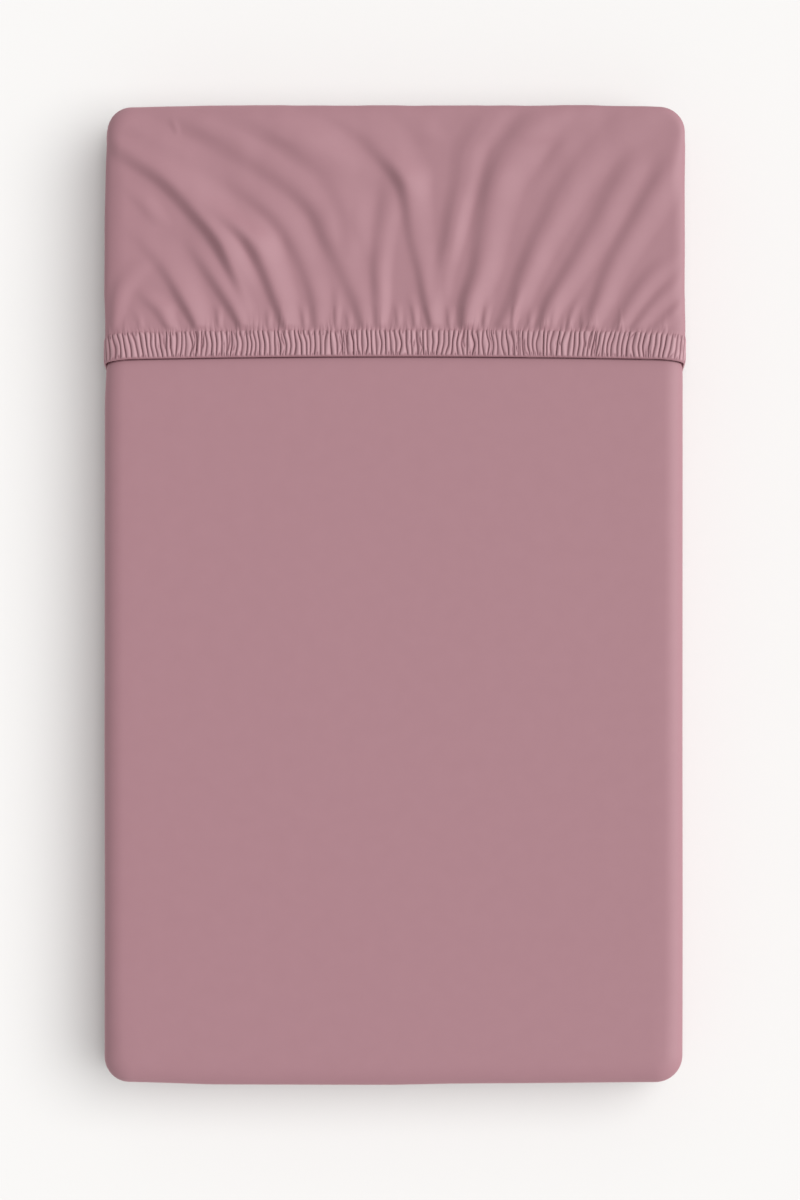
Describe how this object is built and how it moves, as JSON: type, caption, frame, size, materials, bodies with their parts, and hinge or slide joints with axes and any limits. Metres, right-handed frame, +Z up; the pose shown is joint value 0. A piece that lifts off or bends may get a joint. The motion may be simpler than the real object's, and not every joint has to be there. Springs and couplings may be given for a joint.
{
  "type": "fitted sheet on a mattress",
  "caption": "Fitted sheet drawn over a cot mattress, with a deep head pocket whose fanned folds lap the smooth face and end in a gathered, elasticated hem.",
  "frame": {"origin": "on the surface it rests on, under the middle of its bounding box", "axes": "+X across the width, +Y from the foot end to the head end, +Z up out of the smooth face"},
  "size_m": [0.6055, 1.014, 0.1088],
  "materials": {
    "sheet": "matt plain-woven cotton, dusty rose",
    "mattress": "matt white ticking over foam"
  },
  "bodies": {
    "root": {"sheet": "sheet", "mattress": "mattress"}
  },
  "joints": []
}
